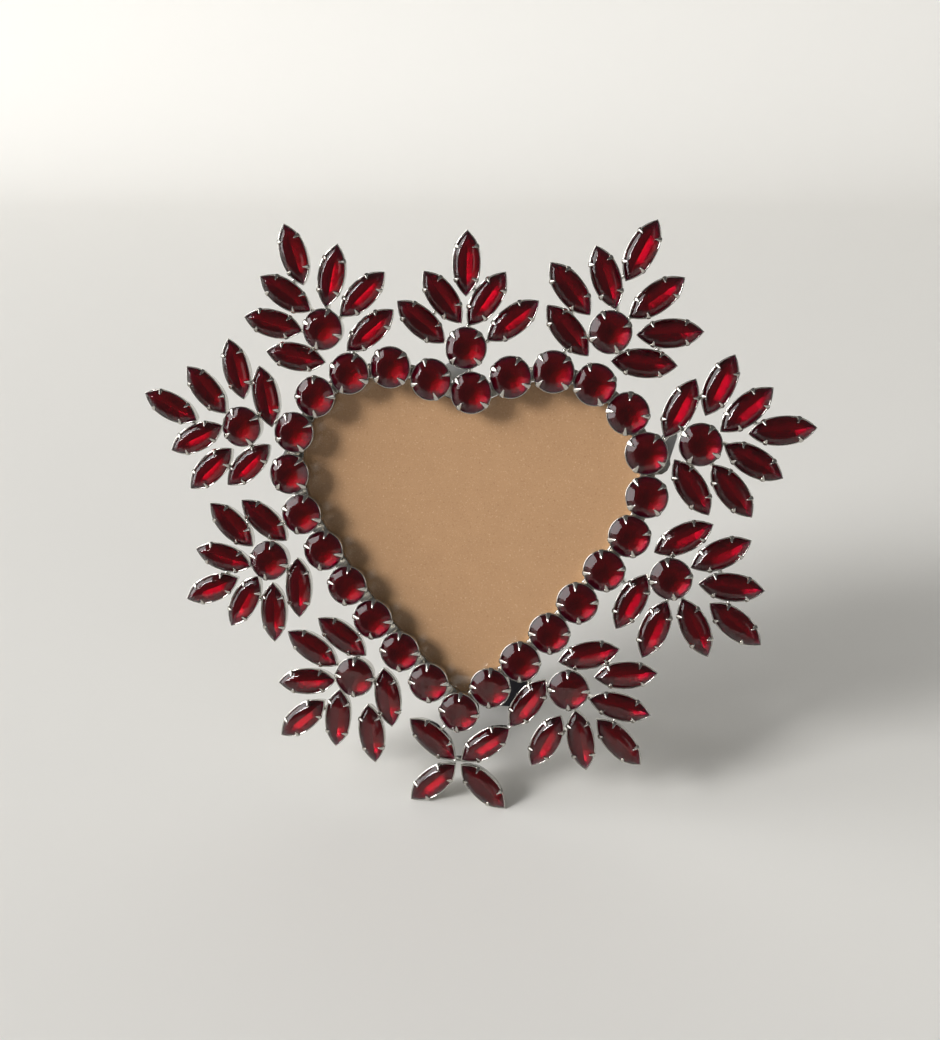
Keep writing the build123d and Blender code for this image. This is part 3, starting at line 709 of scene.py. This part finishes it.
def cut_crown(outline, normals, reaches, bevel, crown, edge):
    """Rings and heights of a crown cut in flat facets, from the middle of its table down to
    the girdle. Each facet rises by the same slope from its line, the table cuts them off, and
    a ring is the outline shrunk towards the middle until it meets the first moved-in line."""
    toward = outline @ normals.T
    slope, nothing = crown / bevel, 1e-6

    def inner(inset):
        shrink = np.where(toward > nothing, (reaches - inset) / np.maximum(toward, nothing), np.inf)
        return outline * shrink.min(axis=1)[:, None]

    return ((outline * 0, inner(bevel + edge), inner(bevel), inner(bevel - edge), outline),
            (crown, crown, crown - TABLE_ROUND * slope * edge, crown - slope * edge,
             slope * (reaches - toward).min(axis=1)))


def pressed_crown(measures, bulge, bevel, crown, edge, count):
    """Rings and heights of a crown pressed with a rounded bevel, from the middle of its table
    down to the girdle: each ring is the outline moved in by a part of the bevel's width."""
    part = np.array((1 - edge / bevel, 0.75, 0.55, 0.35, 0.17, 0))
    rings = ring(measures, np.concatenate(((bevel + edge, bevel), bevel * part)), count)
    rise = crown * crown_rise(part, bulge)
    return (0 * rings[0], *rings), (crown, crown, crown - TABLE_ROUND * (crown - rise[0]), *rise)


def cut_stone(stones, measures, crown, bulge, foil_slope, foil, shares, count):
    """A stone as rows of rings, from the middle of its table to its keel. The foiled facets
    under the girdle fall from their lines by one slope, and meet in a keel as long as the
    middle facets leave it, which is a point under a round stone. With more than one step of
    foil they level out on the way: the depth is 1 less a power of what is left of the way."""
    gap = (stones.play + bpy.context.scene.heart_frame.cups.wall) / MM
    long, wide = measures[0] - gap, measures[1] - gap
    rim = measures[2]
    outline = ring((long, wide), np.zeros(1), count)[0]
    normals, reaches, middle_end = facet_lines(long, wide, shares)
    bevel, edge = (1 - stones.table) * wide, stones.edge / MM
    if bulge:
        rings, heights = pressed_crown((long, wide), bulge, bevel, crown, edge, count)
    else:
        rings, heights = cut_crown(outline, normals, reaches, bevel, crown, edge)
    foot = rim - stones.girdle / MM
    inward = np.maximum((reaches - outline @ normals.T).min(axis=1), 0)
    keel = abs((reaches[0] - wide) / normals[0, 0])
    along = np.clip(outline[:, 0] * keel / middle_end, -keel, keel)
    girdle_foot, keel_line = foot - math.tan(foil_slope) * inward, np.stack((along, 0 * along), axis=-1)
    deepest = foot - math.tan(foil_slope) * wide
    for part in foil:
        depth = 1 - (1 - part) ** LEVELLING
        rings = (*rings, outline + part * (keel_line - outline))
        heights = (*heights, girdle_foot + depth * (deepest - girdle_foot) - rim)
    return np.stack([np.column_stack((flat, np.broadcast_to(rim + height, count * 2)))
                     for flat, height in zip(rings, heights)])


class HEART_OT_stones(bpy.types.Operator):
    """Cut red stones, foiled underneath"""

    bl_idname = "heart_frame.stones"
    bl_label = "Stones"

    def execute(self, context):
        stones = context.scene.heart_frame.stones
        round_facets, petal_facets = np.array((-1, -0.5, 0, 0.5, 1)), np.array((-0.8, 0, 0.8))
        round_bulge, round_count, petal_count = 0, 16, 20
        foils = {ROUND_CUP: ROUND_FOIL, PETAL_CUP: PETAL_FOIL}
        cut = {ROUND_CUP: cut_stone(stones, ROUND_CUP, stones.crown / MM, round_bulge,
                                    stones.foil_slope, ROUND_FOIL, round_facets, round_count),
               PETAL_CUP: cut_stone(stones, PETAL_CUP, stones.petal_crown / MM, stones.petal_bulge,
                                    stones.petal_foil_slope, PETAL_FOIL, petal_facets, petal_count)}
        materials = [finish_of(context, red_glass), finish_of(context, mirror_foil)]
        for node in STONE_NODES:
            surface = Surface()
            for measures, places in kinds(node.replace("stones", "settings")):
                rows = set_out(cut[measures], places)
                foiled = np.arange(rows.shape[1] - 1) > rows.shape[1] - 1 - len(foils[measures])
                surface.add(off_face(rows), foiled)
            piece = surface.make(node.replace("_stones", "_cut_stones"), SHARP_STONE, materials,
                                 "frame")
            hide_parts(node)
        return {"FINISHED"}


# Solder
def ball(half_sizes, rows=8, columns=12):
    """An ellipsoid as rings from its lower pole to its upper one: each ring's radius is the
    sine of its angle from the pole, and the three directions are scaled by the half sizes."""
    rise = np.linspace(0, math.pi, rows)[:, None]
    turn = np.linspace(0, math.tau, columns, endpoint=False)
    return np.stack((np.sin(rise) * np.cos(turn), np.sin(rise) * np.sin(turn),
                     -np.cos(rise) + 0 * turn), axis=-1) * half_sizes


class HEART_OT_solder(bpy.types.Operator):
    """Beads of solder that join the cups"""

    bl_idname = "heart_frame.solder"
    bl_label = "Solder"

    def execute(self, context):
        sizes = context.scene.heart_frame.solder
        width, high, spread = sizes.width / MM, sizes.height / MM, sizes.spread / MM
        off_flange = 0.05
        surface = Surface()
        for corners in solids("solder_joints"):
            face = on_face(corners)
            low, top = face.min(axis=0), face.max(axis=0)
            centre = (low + top) / 2
            arms = face[:, :2] - centre[:2]
            along = np.linalg.eigh(arms.T @ arms)[1][:, 1]
            half = abs(arms @ along).max() + spread
            bead = ball((half, width, high / 2)) + np.array((0, 0, high / 2 + off_flange))
            place = np.array([(*centre[:2], math.atan2(along[1], along[0]))])
            surface.add(off_face(set_out(bead, place)))
        beads = surface.make("solder_beads", SHARP_SOLDER, [finish_of(context, soft_solder)],
                             "frame")
        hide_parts("solder_joints")
        return {"FINISHED"}


# Band, picture and back
class HEART_OT_band(bpy.types.Operator):
    """Heart-shaped band with its flange and the ears for the turn buttons"""

    bl_idname = "heart_frame.band"
    bl_label = "Band"

    def execute(self, context):
        dress("heart_pan", "heart_band", finish_of(context, plated_brass), "frame",
              context.scene.heart_frame.edges.band)
        return {"FINISHED"}


class HEART_OT_picture(bpy.types.Operator):
    """Pane and the bare kraft card behind it"""

    bl_idname = "heart_frame.picture"
    bl_label = "Pane and card"

    def execute(self, context):
        mesh = dress("glass_pane", "pane", finish_of(context, window_glass), "frame").data
        places = np.empty(len(mesh.vertices) * 3, np.float32)
        mesh.vertices.foreach_get("co", places)
        places = places.reshape(-1, 3)
        depth = on_face(places / MM)[:, 2]
        places[depth < depth.mean()] += context.scene.heart_frame.pane_gap * FACE_NORMAL
        mesh.vertices.foreach_set("co", places.ravel())
        mesh.update()
        dress("picture_card", "card", finish_of(context, kraft_board), "frame")
        return {"FINISHED"}


class HEART_OT_back(bpy.types.Operator):
    """Back board with its velvet, and the velvet-covered leg"""

    bl_idname = "heart_frame.back"
    bl_label = "Back and leg"

    def execute(self, context):
        edges, velvet = context.scene.heart_frame.edges, finish_of(context, pile_velvet)
        dress("back_board", "board", finish_of(context, pressed_hardboard), "back",
              edges.board)
        dress("back_velvet", "board_velvet", velvet, "back", edges.board_velvet)
        dress("easel_leg", "leg", velvet, "leg", edges.leg)
        return {"FINISHED"}


# Hinge, buttons and rivets
def rear_normal(node):
    """Unit normal of the largest flat side of a node, turned to look rearwards."""
    corners, triangles = corners_and_triangles(node)
    first, second, third = (corners[triangles[:, place]] for place in range(3))
    normals = np.cross(second - first, third - first)
    largest = normals[np.hypot.reduce(normals, axis=1).argmax()]
    return largest / np.linalg.norm(largest) * (1 if largest[1] > 0 else -1)


def rivet_head(corners, outward, rows=6, columns=20):
    """A domed head over a rivet's flat one: rings whose radius is the cosine, to the power 0.8,
    and whose height is the sine of an angle from the rim to the crown, scaled by the head's
    radius and height. The head is what lies in the outermost tenth of the rivet's radius."""
    axes = np.stack((FACE_RIGHT, np.cross(outward, FACE_RIGHT), outward))
    local = corners @ axes.T
    centre = (local[:, :2].min(axis=0) + local[:, :2].max(axis=0)) / 2
    radius = np.hypot(*(local[:, :2] - centre).T)
    head = local[radius > 0.9 * radius.max(), 2]
    rise = np.linspace(0, math.pi / 2, rows)
    turn = np.linspace(0, math.tau, columns, endpoint=False)
    around = np.concatenate(((0,), radius.max() * np.cos(rise) ** 0.8))
    up = np.concatenate(((head.min(),), head.min() + (head.max() - head.min()) * np.sin(rise)))
    rings = np.stack((centre[0] + np.multiply.outer(around, np.cos(turn)),
                      centre[1] + np.multiply.outer(around, np.sin(turn)),
                      np.broadcast_to(up[:, None], (rows + 1, columns))), axis=-1)
    return (rings @ axes)[None]


class HEART_OT_hardware(bpy.types.Operator):
    """Hinge, turn buttons and domed rivets"""

    bl_idname = "heart_frame.hardware"
    bl_label = "Hinge, buttons and rivets"

    def execute(self, context):
        edge, steel = context.scene.heart_frame.edges.steel, finish_of(context, zinc_steel)
        for node, name, body in (
                ("hinge_fixed_leaf", "fixed_leaf", "back"), ("hinge_moving_leaf", "moving_leaf", "leg"),
                ("hinge_pin", "pin", "back"), ("turn_button_top", "top_turn_button", "top_button"),
                ("turn_button_right", "right_turn_button", "right_button"),
                ("turn_button_left", "left_turn_button", "left_button")):
            dress(node, name, steel, body, edge)
        back, leg = -FACE_NORMAL, rear_normal("easel_leg")
        for node, body, outward in (("button_rivets", "frame", back), ("back_rivets", "back", back),
                                    ("leg_rivets", "leg", leg)):
            surface = Surface()
            for corners in solids(node):
                surface.add(rivet_head(corners, outward))
            heads = surface.make(node.replace("rivets", "rivet_heads"), SHARP_RIVET, [steel],
                                 body)
            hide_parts(node)
        return {"FINISHED"}


# Studio
def paper_sweep(rear=0.9, front=-0.8, left=-1.2, right=2.2, bend=0.35, height=1.6, steps=13):
    """Floor that bends up into a backdrop: flat, then a quarter circle, then upright, as one
    profile moved across the width."""
    turn = np.linspace(0, math.pi / 2, steps)
    run = np.concatenate(((front,), rear + bend * np.sin(turn), (rear + bend,)))
    rise = np.concatenate(((0,), bend * (1 - np.cos(turn)), (height,)))
    side = np.array((left, right))
    grid = np.stack(np.broadcast_arrays(side[None, :], run[:, None], rise[:, None]), axis=-1)
    number = np.arange(grid.shape[0] * 2).reshape(-1, 2)
    quads = np.stack((number[:-1, 0], number[:-1, 1], number[1:, 1], number[1:, 0]), axis=-1)
    mesh = bpy.data.meshes.new("paper_sweep")
    mesh.from_pydata(grid.reshape(-1, 3), [], quads.tolist())
    mesh.shade_smooth()
    return mesh


def soft_lamp(name, direction, distance, size, watts, target):
    """A rectangular lamp that faces the target from a direction on the leaning face."""
    lamp = bpy.data.lights.new(name, "AREA")
    lamp.shape = "RECTANGLE"
    lamp.size, lamp.size_y = size
    lamp.energy = watts
    away = Vector(np.array(direction) @ FACE_AXES).normalized()
    holder = bpy.data.objects.new(name, lamp)
    holder.location = target + away * distance
    holder.rotation_euler = away.to_track_quat("Z", "Y").to_euler()
    bpy.context.scene.collection.objects.link(holder)
    holder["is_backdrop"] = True


def daylight_world(studio):
    """Soft light all round, seen past the paper as a pale wall."""
    world = bpy.data.worlds.new("daylight")
    world.use_nodes = True
    world.node_tree.nodes.clear()
    path = add_node(world.node_tree, "LightPath")
    strength = add_node(world.node_tree, "Mix", {0: path.outputs["Is Camera Ray"], 2: studio.daylight,
                                                 3: studio.wall}, data_type="FLOAT")
    light = add_node(world.node_tree, "Background", {
        "Color": (1, 1, 1, 1), "Strength": strength.outputs[0]})
    add_node(world.node_tree, "OutputWorld", {"Surface": light.outputs[0]})
    return world


class HEART_OT_studio(bpy.types.Operator):
    """Paper floor, soft lamps, daylight and the camera"""

    bl_idname = "heart_frame.studio"
    bl_label = "Studio"

    def execute(self, context):
        scene, studio = context.scene, context.scene.heart_frame.studio
        paper = paper_sweep()
        paper.materials.append(finish_of(context, seamless_paper))
        floor = bpy.data.objects.new("paper_sweep", paper)
        scene.collection.objects.link(floor)
        floor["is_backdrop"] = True

        # Each lamp has its direction on the leaning face, and its distance and size in metres.
        low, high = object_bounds()
        target = (low + high) / 2
        soft_lamp("key_lamp", (-0.75, 0.35, 0.75), 6, (2.1, 2.1), studio.key_power, target)
        soft_lamp("window_lamp", (-0.92, 0.3, 0.2), 5, (3.1, 4.7), studio.window_power, target)
        soft_lamp("fill_lamp", (0.9, 0.2, 0.9), 2.2, (1, 1), studio.fill_power, target)

        scene.world = daylight_world(studio)

        eye = bpy.data.cameras.new("camera")
        eye.lens = studio.lens
        eye.sensor_width = 36
        eye.clip_start, eye.clip_end = 0.01, 20
        camera = bpy.data.objects.new("camera", eye)
        swing, drop = studio.camera_swing, studio.camera_drop
        ahead = Vector((-math.sin(swing) * math.cos(drop), math.cos(swing) * math.cos(drop),
                        -math.sin(drop)))
        roll = Matrix.Rotation(-studio.camera_roll, 4, "Z")
        camera.matrix_world = (Matrix.Translation(studio.camera_place)
                               @ ahead.to_track_quat("-Z", "Y").to_matrix().to_4x4() @ roll)
        scene.collection.objects.link(camera)
        scene.camera = camera
        scene.view_settings.view_transform = "Standard"
        return {"FINISHED"}


class HEART_PT_panel(bpy.types.Panel):
    """Pieces of the frame, in the order in which they are made"""

    bl_idname = "HEART_PT_panel"
    bl_label = "Heart Frame"
    bl_space_type = "VIEW_3D"
    bl_region_type = "UI"
    bl_category = "Heart Frame"

    def draw(self, context):
        for operator in OPERATORS:
            self.layout.operator(operator.bl_idname)
        values = context.scene.heart_frame
        self.layout.prop(values, "pane_gap")
        for group in (values.cups, values.stones, values.solder, values.edges, values.finishes,
                      values.studio):
            box = self.layout.box()
            for name in type(group).__annotations__:
                box.prop(group, name)


GROUPS = (CupSizes, StoneSizes, SolderSizes, EdgeSizes, Finishes, StudioSizes, HeartFrame)
OPERATORS = (HEART_OT_cups, HEART_OT_stones, HEART_OT_solder, HEART_OT_band, HEART_OT_picture,
             HEART_OT_back, HEART_OT_hardware, HEART_OT_studio)


def register():
    """Makes the property groups, operators and panel known to Blender."""
    for item in (*GROUPS, *OPERATORS, HEART_PT_panel):
        bpy.utils.register_class(item)
    bpy.types.Scene.heart_frame = bpy.props.PointerProperty(type=HeartFrame)


def unregister():
    """Takes them away again, last one first."""
    del bpy.types.Scene.heart_frame
    for item in reversed((*GROUPS, *OPERATORS, HEART_PT_panel)):
        bpy.utils.unregister_class(item)


def main():
    """Builds every piece and the studio."""
    register()
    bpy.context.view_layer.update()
    bpy.ops.heart_frame.cups()
    bpy.ops.heart_frame.stones()
    bpy.ops.heart_frame.solder()
    bpy.ops.heart_frame.band()
    bpy.ops.heart_frame.picture()
    bpy.ops.heart_frame.back()
    bpy.ops.heart_frame.hardware()
    bpy.ops.heart_frame.studio()


if __name__ == "__main__":
    main()
